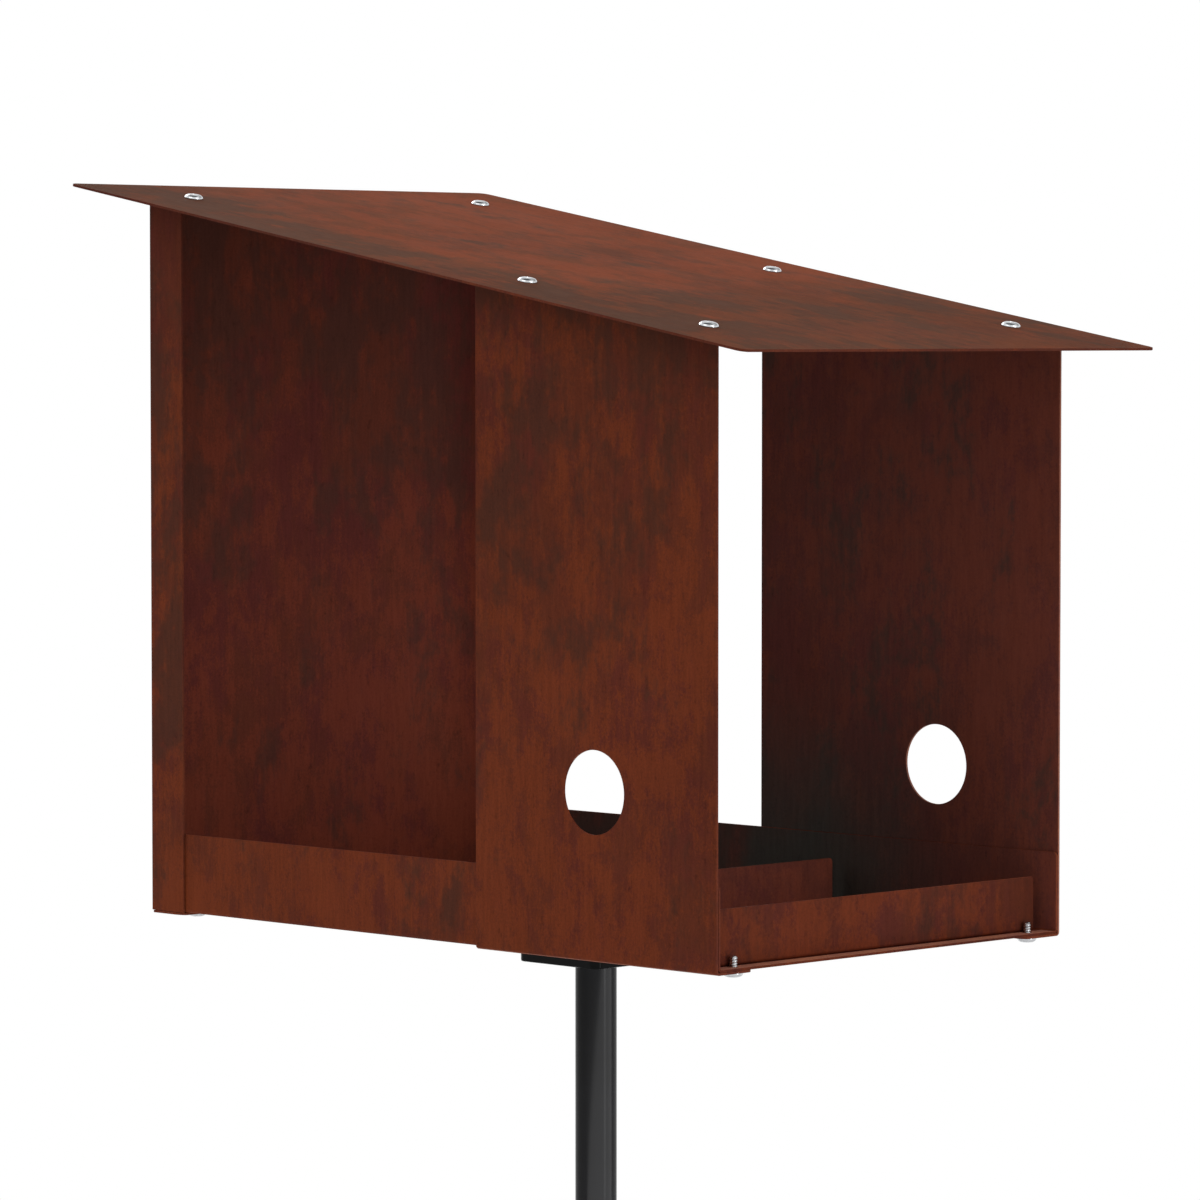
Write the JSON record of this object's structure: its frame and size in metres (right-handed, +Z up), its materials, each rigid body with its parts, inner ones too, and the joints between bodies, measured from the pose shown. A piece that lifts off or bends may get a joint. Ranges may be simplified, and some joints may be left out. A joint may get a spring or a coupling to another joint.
{
  "type": "bird house",
  "caption": "Bird house folded from weathering-steel sheet: pitched flat roof, open front and sides, round entry holes, loose feed tray, on a black pole with a ground spike",
  "frame": {"origin": "on the pole's axis at ground level, under the spike's collar", "axes": "+Z up along the pole, -Y the open front under the roof's low edge, +Y the closed rear wall, -X the side with the shorter panel, +X the side with the longer panel"},
  "size_m": [0.365, 0.5909, 1.5876],
  "materials": {
    "weathering_steel": "matte rust patina",
    "zinc_plated_steel": "bright zinc plating",
    "black_paint": "semi-gloss powder coat"
  },
  "bodies": {
    "house": {"base_tray": "weathering_steel", "rear_wall": "weathering_steel", "left_panel": "weathering_steel", "right_panel": "weathering_steel", "roof": "weathering_steel", "roof_screw_1": "zinc_plated_steel", "roof_screw_2": "zinc_plated_steel", "roof_screw_3": "zinc_plated_steel", "roof_screw_4": "zinc_plated_steel", "roof_screw_5": "zinc_plated_steel", "roof_screw_6": "zinc_plated_steel", "base_screw_1": "zinc_plated_steel", "base_screw_2": "zinc_plated_steel", "base_screw_3": "zinc_plated_steel", "base_screw_4": "zinc_plated_steel", "base_screw_5": "zinc_plated_steel", "base_screw_6": "zinc_plated_steel", "block_screw_1": "zinc_plated_steel", "block_screw_2": "zinc_plated_steel", "block_screw_3": "zinc_plated_steel", "block_screw_4": "zinc_plated_steel", "head_block": "black_paint", "pole_grub_screw": "zinc_plated_steel", "upper_pole": "black_paint", "lower_pole": "black_paint", "ground_spike": "black_paint"},
    "tray": {"feed_tray": "weathering_steel"}
  },
  "joints": [
    {"name": "feed_tray_lift", "type": "slide", "parent": "house", "child": "tray", "axis": [0, 0, 1], "range_m": [0, 0.06]}
  ]
}
